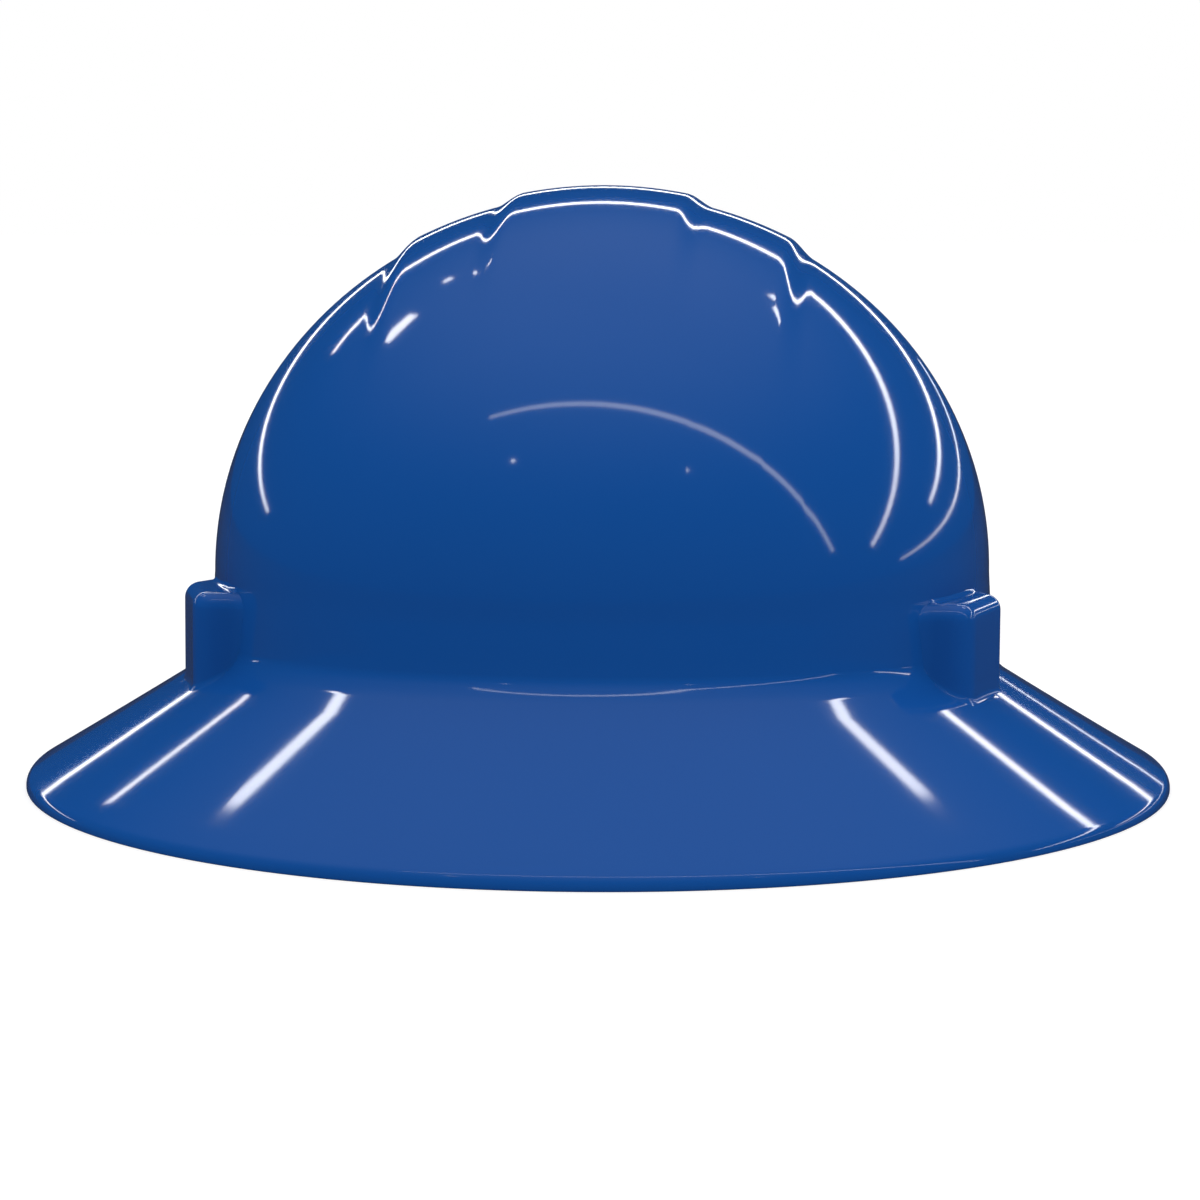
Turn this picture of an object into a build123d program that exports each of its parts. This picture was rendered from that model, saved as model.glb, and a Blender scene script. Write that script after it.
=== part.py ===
from build123d import *
from math import acos, atan2, cos, degrees, floor, hypot, pi, radians, sin, sqrt, tan
import os

# Full brim hard hat: one moulded shell over a four point ratchet suspension.
# Millimetres, +Z up, front of the hat toward -Y, origin at the centre of the rim's rest plane.

os.makedirs("parts", exist_ok=True)

# Shared clearances and overruns
gap = 0.3                     # between pieces that move past each other
snug = 0.05                   # between pieces of one assembly
running_fit = 0.06            # radial clearance of the knob shaft in its bore
overrun = 4.0                 # how far a cut runs past a face

# Shell: brim
brim_half_width = 153.0
brim_half_length = 170.6
rim_roll_radius = 3.0
rim_lip = 0.8
shell_wall = 2.6

# Shell: crown
crown_half_width = 104.4
crown_half_length = 129.9
crown_shift = 8.5             # crown centre behind the brim centre
dome_base = 55.8              # height of the dome's widest section
dome_rise = 98.4
skirt_flare = 1.4             # how far the wall spreads from the dome base down to the brim
junction_height = 30.9        # where wall and brim would meet, at the crown centre
junction_rise = 8.3           # how much higher they meet at the front, and lower at the back
junction_radius = 9.0

# Shell: stepped ridges along the top
ridge_half_width = 26.0
ridge_height = 4.3
ridge_run = 88.0              # from the crown centre to where the ridge fades out
shoulder_half_width = 52.0
shoulder_height = 2.1
shoulder_run = 96.0
slab_share = 1.5              # depth of the slab that the raised bands are cut from

# Shell: accessory slot blocks on the sides
block_front_x = 98.1
block_front_y = -65.3
block_knee_x = 106.8
block_knee_y = -36.0
block_rear_x = 103.4
block_rear_y = -29.0
block_depth = 13.0            # along the front face, into the crown wall
block_top = 54.4
block_edge_radius = 3.4
block_corner_radius = 5.0
block_knee_radius = 5.5
pocket_width = 5.5
pocket_length = 23.0
pocket_wall = 2.3
pocket_top = 50.4

# Suspension keys and their sockets
front_key_y = -78.0
rear_key_y = 66.0
socket_bottom = 47.0
socket_top = 66.0
socket_half_width = 11.0
socket_roof = 2.4
socket_wall = 1.9
tongue_half_width = 7.5
tongue_thickness = 2.2
tongue_stand_off = 1.5        # from the shell wall to the tongue
tongue_end_gap = 1.0
key_half_width = 12.5
key_foot = 19.0
key_thickness = 4.4
key_edge_radius = 1.2
strap_seat_bottom = 42.5
strap_seat_top = 60.0
strap_seat_wall = 1.3
stud_height = 29.0
stud_radius = 2.0
stud_head_radius = 4.0
stud_head_thickness = 1.0

# Crown straps
strap_width = 19.0
strap_thickness = 1.2
strap_apex = 115.0
strap_crossing_rise = 3.0     # the upper strap above the lower one
strap_foot_gap = 1.0

# Headband
band_half_width = 84.6
band_half_length = 103.4
band_thickness = 2.0
band_center_y = -7.0
band_bottom = 10.0
band_top = 38.0
band_rear_y = 6.0
band_edge_radius = 0.8
height_travel = 4.0           # each way, for wearing the hat higher or lower
hanger_plate = 2.0
hanger_half_width = 9.0
hanger_side = 2.0
hanger_rim = 2.5              # plate above and below its slot
hanger_reach = 13.0
hanger_arm_half_height = 6.0
hanger_arm_start_y = 4.0
band_window_edge = 0.3

# Brow pad
brow_pad_thickness = 4.5
brow_pad_bottom = 12.0
brow_pad_top = 36.0
brow_pad_rear_y = -38.0

# Ratchet: strap ends on an arc around the nape
nape_center_y = 25.1
nape_radius = 76.0
nape_height = 27.0            # knob axis above the rim
layer_offset = 1.1            # of each strap layer from the nape radius
rack_thickness = 1.6
rack_half_height = 11.5
rack_tail = 3.5
rack_slot_end = 1.5
tighten_travel = 24.4
loosen_travel = 19.5
mesh_half_length = 9.0
slot_clearance = 0.6          # between the gear tips and the strap's plain edge

# Ratchet: gear
gear_teeth = 14
gear_module = 1.0
pressure_angle = 20.0
gear_addendum = 1.0
gear_dedendum = 1.25
rack_addendum = 0.8
backlash = 0.1                # thinned off each tooth
gear_thickness = 4.2
flank_points = 5

# Ratchet: housing
channel_half_height = 12.0
cover_wall = 2.0
cover_half_angle = 48.0
boss_radius = 16.0
boss_face = 84.0              # from the nape centre to the boss's rear face
detent_recess_radius = 14.0
detent_recess_depth = 2.7
detent_tooth_height = 1.0
detent_teeth = 30
screw_hole_radius = 3.4

# Ratchet: knob
shaft_radius = 3.0
drive_square = 4.2
pawl_square = 8.0
knob_radius = 16.5
knob_thickness = 9.0
knob_edge_radius = 1.6
knob_dish_radius = 11.0
knob_dish_depth = 1.2
knob_bar_width = 4.5
grip_thickness = 2.0
grip_inset = 1.0
grip_flutes = 24
flute_radius = 1.3
pawl_hub_radius = 7.0
pawl_thickness = 1.9
pawl_arms = 3
pawl_arm_width = 2.0
pawl_tip_radius = 12.6
screw_radius = 1.25
screw_length = 8.0
screw_head_radius = 2.8
screw_head_thickness = 1.5

# Strap arms between the headband and the ratchet housing
arm_thickness = 1.8
arm_half_height = 9.5
arm_start_x = 82.8
arm_start_y = -13.0
arm_front_pull = 28.0
arm_rear_pull = 34.0
arm_tuck = 4.0                # how far each arm reaches into the housing
arm_rivet_ys = (-9.5, -2.0)
arm_straight_end_y = 2.0
rivet_radius = 1.4
rivet_head_radius = 2.8
rivet_head_thickness = 0.9

# Nape pad
nape_pad_thickness = 3.5
nape_pad_half_angle = 40.0
nape_pad_half_height = 11.0

# Form of both pads
cushion_sections = 13
cushion_draw = 1.0            # how far the sides pull in toward the back
cushion_side_share = 0.45     # of the crown's thickness at the pad's edges
cushion_end_draw = 0.25

# Numbers of sections on the shell's curved stretches
roll_sections = 7
junction_sections = 7


def save(shape, name):
    shape.label = name
    export_step(shape, "parts/" + name + ".step")


def brim_slope():
    """Angle of the brim at the side, in radians, where the straight line leaves the rim's roll."""
    rise = junction_height - rim_lip
    run = brim_half_width - rim_roll_radius - crown_half_width - skirt_flare
    reach = hypot(rise, run)
    return atan2(rise, run) - atan2(rim_roll_radius, sqrt(reach**2 - rim_roll_radius**2))


def side_profile(inset):
    """Stations (half width, height) of the shell's side profile, from the rim up to the dome base."""
    slope = brim_slope()
    roll_x = brim_half_width - rim_roll_radius
    roll = rim_roll_radius - inset
    stations = [(brim_half_width - inset, 0.0)]
    for step in range(roll_sections):
        turn = (pi / 2 - slope) * step / (roll_sections - 1)
        stations.append((roll_x + roll * cos(turn), rim_lip + roll * sin(turn)))
    foot = crown_half_width + skirt_flare
    lean = atan2(skirt_flare, dome_base - junction_height)
    half_turn = (pi / 2 - slope - lean) / 2
    tangent = junction_radius * tan(half_turn)
    start_x = foot + tangent * cos(slope)
    start_z = junction_height - tangent * sin(slope)
    center_x = start_x + junction_radius * sin(slope)
    center_z = start_z + junction_radius * cos(slope)
    radius = junction_radius + inset
    for step in range(junction_sections):
        turn = slope + 2 * half_turn * step / (junction_sections - 1)
        stations.append((center_x - radius * sin(turn), center_z - radius * cos(turn)))
    stations.append((crown_half_width - inset, dome_base))
    return stations


def station_face(half_width, height, inset):
    """One tilted elliptical section of the shell through a profile station."""
    foot = crown_half_width + skirt_flare
    share = (brim_half_width - inset - half_width) / (brim_half_width - foot)
    share = min(max(share, 0.0), 1.0)
    stretch = brim_half_length - brim_half_width
    crown_stretch = crown_half_length - crown_half_width
    half_length = half_width + stretch + (crown_stretch - stretch) * share
    fade = min(max((dome_base - height) / (dome_base - junction_height), 0.0), 1.0)
    pitch = atan2(junction_rise * share * fade, crown_half_length)
    plane = Plane((0, crown_shift * share, height), x_dir=(1, 0, 0), z_dir=(0, sin(pitch), cos(pitch)))
    return plane * Ellipse(half_width, half_length / cos(pitch))


def crown_ellipsoid(half_width, half_length, rise):
    ball = scale(Sphere(1), by=(half_width, half_length, rise))
    return Pos(0, crown_shift, dome_base) * ball


def above(height, solid):
    size = 4 * brim_half_length
    return solid & (Pos(0, 0, height) * Box(size, size, size, align=(Align.CENTER, Align.CENTER, Align.MIN)))


def shell_form(inset):
    """Solid inside the shell's surface, set in by a distance."""
    faces = []
    for half_width, height in side_profile(inset):
        faces.append(station_face(half_width, height, inset))
    lower = loft(faces, ruled=True)
    dome = above(dome_base, crown_ellipsoid(crown_half_width - inset, crown_half_length - inset,
                                            dome_rise - inset))
    return lower + dome


def raised_band(half_width, height, run):
    """Band along the crown's top that fades into the dome at both ends."""
    fade = 1 - (run / crown_half_length)**2
    grown = fade * (dome_rise / (dome_rise + height))**2
    half_length = run / sqrt(1 - grown)
    form = crown_ellipsoid(crown_half_width + height, half_length, dome_rise + height)
    slab = Pos(0, crown_shift, dome_base + dome_rise) * Box(2 * half_width, 2 * crown_half_length, slab_share * dome_rise)
    return form & slab


def block_outline(side):
    dx = block_knee_x - block_front_x
    dy = block_knee_y - block_front_y
    run = hypot(dx, dy)
    inner_x = block_front_x - block_depth * dy / run
    inner_y = block_front_y + block_depth * dx / run
    points = [(inner_x, inner_y), (block_front_x, block_front_y), (block_knee_x, block_knee_y),
              (block_rear_x, block_rear_y), (inner_x, block_rear_y)]
    return [(side * x, y) for x, y in points]


def accessory_block(side):
    sketch = make_face(Polyline(*block_outline(side), close=True))
    corner = sketch.vertices().sort_by_distance((side * block_front_x, block_front_y, 0))[0]
    sketch = fillet(corner, block_corner_radius)
    knee = sketch.vertices().sort_by_distance((side * block_knee_x, block_knee_y, 0))[0]
    sketch = fillet(knee, block_knee_radius)
    low = junction_height - junction_rise
    block = extrude(Pos(0, 0, low) * sketch, block_top - low)
    rim = block.edges().filter_by(lambda edge: edge.center().Z > block_top - snug)
    outer = rim.filter_by(lambda edge: abs(edge.center().X) > block_front_x - block_depth / 2)
    return fillet(outer, block_edge_radius)


def pocket_frame(side):
    """Place on the block's long outer face, local X outward."""
    dx = block_knee_x - block_front_x
    dy = block_knee_y - block_front_y
    middle_x = (block_front_x + block_knee_x) / 2
    middle_y = (block_front_y + block_knee_y) / 2
    turn = degrees(atan2(dx, dy))
    if side > 0:
        return Pos(middle_x, middle_y, 0) * Rot(0, 0, -turn)
    return Pos(-middle_x, middle_y, 0) * Rot(0, 0, 180 + turn)


def span_box(x_low, x_high, y_low, y_high, z_low, z_high):
    low_corner = (Align.MIN, Align.MIN, Align.MIN)
    return Pos(x_low, y_low, z_low) * Box(x_high - x_low, y_high - y_low, z_high - z_low, align=low_corner)


def pocket_cut(side):
    half = pocket_length / 2
    outer = -pocket_wall
    low = junction_height - junction_rise - overrun
    return pocket_frame(side) * span_box(outer - pocket_width, outer, -half, half, low, pocket_top)


def wall_point(y):
    """Half width of the crown's inner wall at a distance along the hat."""
    share = (y - crown_shift) / (crown_half_length - shell_wall)
    return (crown_half_width - shell_wall) * sqrt(1 - share**2)


def strap_turn():
    return atan2(rear_key_y - front_key_y, wall_point(rear_key_y) + wall_point(front_key_y))


def key_lean(y):
    """How far a key stands in from the wall, because the wall runs askew to the strap."""
    half_width = crown_half_width - shell_wall
    half_length = crown_half_length - shell_wall
    normal = atan2(abs(y - crown_shift) / half_length**2, wall_point(y) / half_width**2)
    return key_half_width * tan(abs(strap_turn() - normal))


def key_frame(side, y):
    """Place on the crown's inner wall, local X outward along the strap."""
    turn = degrees(strap_turn())
    if y < 0:
        turn = -turn
    if side < 0:
        turn = 180 - turn
    return Pos(side * wall_point(y), y, 0) * Rot(0, 0, turn)


def inward(v_low, v_high, half_width, z_low, z_high):
    return span_box(-v_high, -v_low, -half_width, half_width, z_low, z_high)


def socket_depths(y):
    slot_low = tongue_stand_off - gap + key_lean(y)
    slot_high = slot_low + tongue_thickness + 2 * gap
    return slot_low, slot_high


def socket_body(side, y):
    slot_low, slot_high = socket_depths(y)
    return key_frame(side, y) * inward(-shell_wall, slot_high + socket_wall, socket_half_width,
                                       socket_bottom, socket_top)


def socket_cut(side, y):
    slot_low, slot_high = socket_depths(y)
    return key_frame(side, y) * inward(slot_low, slot_high, tongue_half_width + gap,
                                       socket_bottom - overrun, socket_top - socket_roof)


def make_shell():
    outer = shell_form(0.0)
    cavity = shell_form(shell_wall)
    outer += raised_band(shoulder_half_width, shoulder_height, shoulder_run)
    outer += raised_band(ridge_half_width, ridge_height, ridge_run)
    for side in (1, -1):
        outer += accessory_block(side)
    shell = outer - cavity
    for side in (1, -1):
        shell -= pocket_cut(side)
        for y in (front_key_y, rear_key_y):
            shell += socket_body(side, y) & cavity
            shell -= socket_cut(side, y)
    return shell


def key_face(y):
    """Distance from the wall to the key's inner face."""
    return tongue_stand_off + key_lean(y) + key_thickness


def strap_depth(y):
    """Distance from the wall to the middle of the strap's thickness."""
    slot_low, slot_high = socket_depths(y)
    return slot_high + socket_wall + gap + strap_seat_wall + gap + strap_thickness / 2


def make_key(side, y):
    slot_low, slot_high = socket_depths(y)
    back = tongue_stand_off + key_lean(y)
    face = key_face(y)
    body = inward(back, face, key_half_width, key_foot, socket_bottom)
    body = fillet(body.edges().filter_by(Axis.X), key_edge_radius)
    tongue = inward(back, back + tongue_thickness, tongue_half_width, socket_bottom - overrun,
                    socket_top - socket_roof - tongue_end_gap)
    seat_back = slot_high + socket_wall + gap
    middle = strap_depth(y)
    seat_face = middle + strap_thickness / 2 + gap + strap_seat_wall
    seat = inward(seat_back, seat_face, key_half_width, strap_seat_bottom, strap_seat_top)
    shelf = inward(back, seat_face, key_half_width, strap_seat_bottom, socket_bottom)
    half_slot = strap_thickness / 2 + gap
    slot = inward(middle - half_slot, middle + half_slot, strap_width / 2 + gap,
                  socket_bottom, strap_seat_top + overrun)
    head_start = face + gap + hanger_plate + gap
    stud = Pos(-face, 0, stud_height) * Rot(0, -90, 0) * Cylinder(
        stud_radius, head_start - face, align=(Align.CENTER, Align.CENTER, Align.MIN))
    head = Pos(-head_start, 0, stud_height) * Rot(0, -90, 0) * Cylinder(
        stud_head_radius, stud_head_thickness, align=(Align.CENTER, Align.CENTER, Align.MIN))
    key = body + tongue + seat + shelf - slot + stud + head
    return key_frame(side, y) * key


def make_crown_strap(side, rise):
    """Strap from the front key on one side to the rear key on the other."""
    turn = strap_turn()
    front = wall_point(front_key_y) - strap_depth(front_key_y) * cos(turn)
    front_y = front_key_y + strap_depth(front_key_y) * sin(turn)
    rear = wall_point(rear_key_y) - strap_depth(rear_key_y) * cos(turn)
    rear_y = rear_key_y - strap_depth(rear_key_y) * sin(turn)
    half_span = hypot(front + rear, rear_y - front_y) / 2
    middle = (side * (rear - front) / 2, (front_y + rear_y) / 2, 0)
    heading = degrees(turn) if side > 0 else 180 - degrees(turn)
    half = strap_thickness / 2
    low = socket_bottom + strap_foot_gap
    arch = strap_apex + rise - strap_seat_top
    outer = Ellipse(half_span + half, arch + half)
    inner = Ellipse(half_span - half, arch - half)
    size = 2 * half_span + overrun
    upper = outer - inner - Pos(0, -size / 2) * Rectangle(2 * size, size)
    legs = Sketch()
    for end in (-1, 1):
        leg_height = strap_seat_top - low
        legs += Pos(end * half_span, -leg_height / 2) * Rectangle(strap_thickness, leg_height)
    profile = Plane((0, 0, strap_seat_top), x_dir=(1, 0, 0), z_dir=(0, -1, 0)) * (upper + legs)
    strap = extrude(profile, strap_width / 2, both=True)
    return Pos(*middle) * Rot(0, 0, heading) * strap


def oval_ring(half_width, half_length, thickness, z_low, z_high):
    """Upright oval band; the half sizes are those of its inner face."""
    outer = Ellipse(half_width + thickness, half_length + thickness)
    ring = outer - Ellipse(half_width, half_length)
    return Pos(0, band_center_y, z_low) * extrude(ring, z_high - z_low)


def head_space():
    height = band_top - band_bottom + 2 * overrun
    oval = Ellipse(band_half_width, band_half_length)
    return Pos(0, band_center_y, band_bottom - overrun) * extrude(oval, height)


def hanger_depth(y):
    return key_face(y) + gap


def hanger_half_height():
    return stud_radius + gap + height_travel + hanger_rim


def hanger_plate_solid(y):
    depth = hanger_depth(y)
    half = hanger_half_height()
    return inward(depth, depth + hanger_plate, hanger_half_width, stud_height - half, stud_height + half)


def hanger_slot(y):
    depth = hanger_depth(y)
    radius = stud_radius + gap
    cut = inward(depth - overrun, depth + hanger_plate + overrun, radius,
                 stud_height - height_travel, stud_height + height_travel)
    for end in (-1, 1):
        hole = Cylinder(radius, 2 * overrun + hanger_plate)
        cut += Pos(-depth - hanger_plate / 2, 0, stud_height + end * height_travel) * Rot(0, 90, 0) * hole
    return cut


def link_wall(start, end, thickness, z_low, z_high):
    """Upright wall between two points in plan."""
    dx = end[0] - start[0]
    dy = end[1] - start[1]
    wall = span_box(0, hypot(dx, dy), -thickness / 2, thickness / 2, z_low, z_high)
    return Pos(start[0], start[1], 0) * Rot(0, 0, degrees(atan2(dy, dx))) * wall


def make_headband():
    band = oval_ring(band_half_width, band_half_length, band_thickness, band_bottom, band_top)
    levels = band.edges().group_by(Axis.Z)
    band = fillet(levels[0] + levels[-1], band_edge_radius)
    size = 4 * band_half_length
    keep = Pos(0, band_rear_y - size / 2, 0) * Box(size, size, size)
    band = band & keep
    half = hanger_half_height()
    for side in (1, -1):
        frame = key_frame(side, front_key_y)
        depth = hanger_depth(front_key_y)
        box = inward(depth, depth + hanger_reach, hanger_half_width, stud_height - half, stud_height + half)
        box -= inward(depth + hanger_plate, depth + hanger_reach + overrun, hanger_half_width - hanger_side,
                      stud_height - half - overrun, stud_height + half + overrun)
        band += (frame * box) - head_space()
        window = inward(depth + hanger_plate, depth + 2 * hanger_reach, hanger_half_width - hanger_side,
                        stud_height - half + band_window_edge, stud_height + half - band_window_edge)
        band -= frame * window
        band -= frame * hanger_slot(front_key_y)
        frame = key_frame(side, rear_key_y)
        depth = hanger_depth(rear_key_y) + hanger_plate / 2
        plate_end = frame * Pos(-depth, -side * hanger_half_width, 0)
        end = (plate_end.position.X, plate_end.position.Y)
        share = (hanger_arm_start_y - band_center_y) / (band_half_length + band_thickness / 2)
        start_x = (band_half_width + band_thickness / 2) * sqrt(1 - share**2)
        start = (side * start_x, hanger_arm_start_y)
        band += frame * hanger_plate_solid(rear_key_y)
        band += link_wall(start, end, hanger_plate, stud_height - hanger_arm_half_height,
                          stud_height + hanger_arm_half_height)
        joint = Pos(end[0], end[1], stud_height) * Cylinder(hanger_plate / 2, 2 * hanger_arm_half_height)
        band += joint
        band -= frame * hanger_slot(rear_key_y)
    return band


def cushion_section(place, inward_angle, share, height, crown):
    """Cross section of a pad: flat back, drawn-in sides and a crowned face, facing an angle in plan."""
    facing = (cos(inward_angle), sin(inward_angle), 0)
    along = (-sin(inward_angle), cos(inward_angle), 0)
    plane = Plane(place, x_dir=facing, z_dir=along)
    half = share * height / 2
    back = half - cushion_draw
    side = crown * cushion_side_share
    lines = [Line((0, back), (0, -back)), Line((0, -back), (side, -half)),
             ThreePointArc((side, -half), (crown, 0), (side, half)), Line((side, half), (0, back))]
    return plane * make_face(lines)


def cushion_shares():
    """Height of each section along a pad: full in the middle, drawn in toward its ends."""
    shares = []
    for step in range(cushion_sections):
        spread = 2 * step / (cushion_sections - 1) - 1
        shares.append((spread, 1 - cushion_end_draw * spread**6))
    return shares


def make_brow_pad():
    half_width = band_half_width - gap
    half_length = band_half_length - gap
    end_turn = acos((band_center_y - brow_pad_rear_y) / half_length)
    middle = (brow_pad_bottom + brow_pad_top) / 2
    faces = []
    for spread, share in cushion_shares():
        turn = spread * end_turn
        place = (half_width * sin(turn), band_center_y - half_length * cos(turn), middle)
        facing = atan2(cos(turn) / half_length, -sin(turn) / half_width)
        faces.append(cushion_section(place, facing, share, brow_pad_top - brow_pad_bottom, brow_pad_thickness))
    return loft(faces)


def nape_point(radius, angle):
    """Point on the nape arc; the angle is from straight back toward +X."""
    return (radius * sin(radians(angle)), nape_center_y + radius * cos(radians(angle)))


def sector(r_low, r_high, z_low, z_high, angle_low, angle_high):
    """Part of an upright tube around the nape centre; angles from straight back toward +X."""
    profile = Plane.XZ * (Pos((r_low + r_high) / 2, (z_low + z_high) / 2) *
                          Rectangle(r_high - r_low, z_high - z_low))
    solid = revolve(profile, Axis.Z, angle_high - angle_low)
    return Pos(0, nape_center_y, 0) * Rot(0, 0, 90 - angle_high) * solid


def layer_radius(side):
    return nape_radius + side * layer_offset


def pitch_radius():
    return gear_teeth * gear_module / 2


def tooth_pitch():
    return pi * gear_module


def rack_gap(side, radius):
    """Space between two strap teeth, cut straight through the strap at mid position."""
    half_pitch = (tooth_pitch() / 2 + backlash) / 2
    spread = tan(radians(pressure_angle))
    top = gear_dedendum
    mouth = -rack_addendum - gap
    points = [(-half_pitch + mouth * spread, mouth), (half_pitch - mouth * spread, mouth),
              (half_pitch - top * spread, top), (-half_pitch + top * spread, top)]
    outline = make_face(Polyline(*points, close=True))
    prism = extrude(Plane.XZ * outline, rack_thickness * 2, both=True)
    if side < 0:
        prism = mirror(prism, Plane.XY)
    return Pos(0, radius, nape_height + side * pitch_radius()) * prism


def make_rack(side):
    """Strap end with a toothed slot; the right one meshes above the gear, the left one below."""
    radius = layer_radius(side)
    half = rack_thickness / 2
    outer_end = tighten_travel + mesh_half_length + rack_slot_end + rack_tail
    inner_end = loosen_travel + mesh_half_length + rack_slot_end + rack_tail
    to_angle = 180 / pi / radius
    spans = sorted((side * outer_end * to_angle, -side * inner_end * to_angle))
    strap = sector(radius - half, radius + half, nape_height - rack_half_height,
                   nape_height + rack_half_height, *spans)
    slot_out = outer_end - rack_tail
    slot_in = inner_end - rack_tail
    slot_spans = sorted((side * slot_out * to_angle, -side * slot_in * to_angle))
    plain = nape_height - side * (pitch_radius() + gear_addendum + slot_clearance)
    toothed = nape_height + side * (pitch_radius() - rack_addendum)
    z_low, z_high = sorted((plain, toothed))
    slot = sector(radius - rack_thickness, radius + rack_thickness, z_low, z_high, *slot_spans)
    first = -floor((slot_in - rack_slot_end) / tooth_pitch())
    last = floor((slot_out - rack_slot_end) / tooth_pitch())
    cuts = [slot]
    for index in range(first, last + 1):
        turn = -side * degrees(index * tooth_pitch() / radius)
        cuts.append(Pos(0, nape_center_y, 0) * Rot(0, 0, turn) * rack_gap(side, radius))
    return strap - cuts


def gear_outline():
    """Outline of the gear, each flank an involute, centred on its axis."""
    pitch = pitch_radius()
    base = pitch * cos(radians(pressure_angle))
    root = pitch - gear_dedendum
    tip = pitch + gear_addendum
    roll_at_pitch = tan(radians(pressure_angle))
    half_tooth = (tooth_pitch() / 2 - backlash) / 2 / pitch
    flank_turn = half_tooth + roll_at_pitch - radians(pressure_angle)
    roll_end = sqrt((tip / base)**2 - 1)
    flank = [(root, flank_turn)]
    for step in range(flank_points):
        roll = roll_end * step / (flank_points - 1)
        flank.append((base * sqrt(1 + roll**2), flank_turn - roll + atan2(roll, 1)))
    points = []
    for tooth in range(gear_teeth):
        middle = pi / 2 + 2 * pi * tooth / gear_teeth
        for radius, turn in flank:
            points.append((radius * cos(middle - turn), radius * sin(middle - turn)))
        for radius, turn in reversed(flank):
            points.append((radius * cos(middle + turn), radius * sin(middle + turn)))
    return make_face(Polyline(*points, close=True))


def rear_extrude(sketch, start, length):
    """Extrude a sketch, drawn as seen from the front, toward the rear from a distance behind the nape."""
    plane = Plane((0, nape_center_y + start, nape_height), x_dir=(-1, 0, 0), z_dir=(0, 1, 0))
    return extrude(plane * sketch, length)


def gear_start():
    return nape_radius - gear_thickness / 2


def make_pinion():
    gear = rear_extrude(gear_outline(), gear_start(), gear_thickness)
    bore = Rectangle(drive_square + 2 * snug, drive_square + 2 * snug)
    return gear - rear_extrude(bore, gear_start() - overrun, gear_thickness + 2 * overrun)


def channel_outer():
    return layer_radius(1) + arm_thickness / 2 + gap


def channel_inner():
    return layer_radius(-1) - arm_thickness / 2 - gap


def recess_floor():
    return boss_face - detent_recess_depth


def make_inner_cover():
    inner = channel_inner() - cover_wall
    half = channel_half_height + cover_wall
    cover = sector(inner, channel_inner(), nape_height - half, nape_height + half,
                   -cover_half_angle, cover_half_angle)
    corner_edges = cover.edges().filter_by(lambda edge: edge.length < cover_wall + snug)
    cover = fillet(corner_edges, cover_wall)
    hole = rear_extrude(Circle(screw_hole_radius), inner - overrun, cover_wall + 2 * overrun)
    return cover - hole


def detent_ring_outline():
    """Inside of the boss: a ring of pointed teeth for the pawl."""
    points = []
    for index in range(2 * detent_teeth):
        angle = pi * index / detent_teeth
        radius = detent_recess_radius - detent_tooth_height * (index % 2)
        points.append((radius * cos(angle), radius * sin(angle)))
    return make_face(Polyline(*points, close=True))


def make_outer_cover():
    outer = channel_outer() + cover_wall
    half = channel_half_height + cover_wall
    shell = sector(channel_inner() + snug, outer, nape_height - half, nape_height + half,
                   -cover_half_angle, cover_half_angle)
    corner_edges = shell.edges().filter_by(lambda edge: edge.length < outer - channel_inner())
    shell = fillet(corner_edges, cover_wall)
    boss = rear_extrude(Circle(boss_radius), channel_outer() - cover_wall, boss_face - channel_outer() + cover_wall)
    shell += boss
    shell -= sector(channel_inner() - overrun, channel_outer(), nape_height - channel_half_height,
                    nape_height + channel_half_height, -cover_half_angle - overrun, cover_half_angle + overrun)
    gear_room = pitch_radius() + gear_addendum + slot_clearance
    depth = gear_start() + gear_thickness + gap
    shell -= rear_extrude(Circle(gear_room), channel_inner(), depth - channel_inner())
    shell -= rear_extrude(detent_ring_outline(), recess_floor(), detent_recess_depth + overrun)
    bore = Circle(shaft_radius + running_fit)
    return shell - rear_extrude(bore, depth - overrun, boss_face - depth + overrun)


def make_knob():
    start = boss_face + gap
    cap = rear_extrude(Circle(knob_radius), start, knob_thickness)
    rear_rim = cap.edges().sort_by(Axis.Y)[-1]
    cap = fillet(rear_rim, knob_edge_radius)
    dish = Circle(knob_dish_radius) - Rectangle(knob_bar_width, 2 * knob_radius)
    cap -= rear_extrude(dish, start + knob_thickness - knob_dish_depth, overrun)
    square_start = recess_floor() + gap
    cap += rear_extrude(Rectangle(pawl_square, pawl_square), square_start, start - square_start)
    shaft_start = gear_start() + gear_thickness
    cap += rear_extrude(Circle(shaft_radius), shaft_start, square_start - shaft_start)
    cap += rear_extrude(Rectangle(drive_square, drive_square), gear_start(), gear_thickness)
    hole = rear_extrude(Circle(screw_radius + snug), gear_start(), screw_length + gap)
    return cap - hole


def make_grip():
    ring = Circle(knob_radius + grip_thickness) - Circle(knob_radius + snug)
    for index in range(grip_flutes):
        angle = 2 * pi * index / grip_flutes
        reach = knob_radius + grip_thickness + flute_radius / 2
        ring -= Pos(reach * cos(angle), reach * sin(angle)) * Circle(flute_radius)
    return rear_extrude(ring, boss_face + gap + grip_inset, knob_thickness - 2 * grip_inset)


def make_pawl():
    hole = Rectangle(pawl_square + 2 * snug, pawl_square + 2 * snug)
    plate = Circle(pawl_hub_radius)
    for index in range(pawl_arms):
        angle = 360 * index / pawl_arms
        reach = pawl_tip_radius - pawl_arm_width / 2
        arm = Pos(reach / 2, 0) * Rectangle(reach, pawl_arm_width)
        arm += Pos(reach, 0) * Circle(pawl_arm_width / 2)
        plate += Rot(0, 0, angle) * arm
    return rear_extrude(plate - hole, recess_floor() + gap, pawl_thickness)


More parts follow.
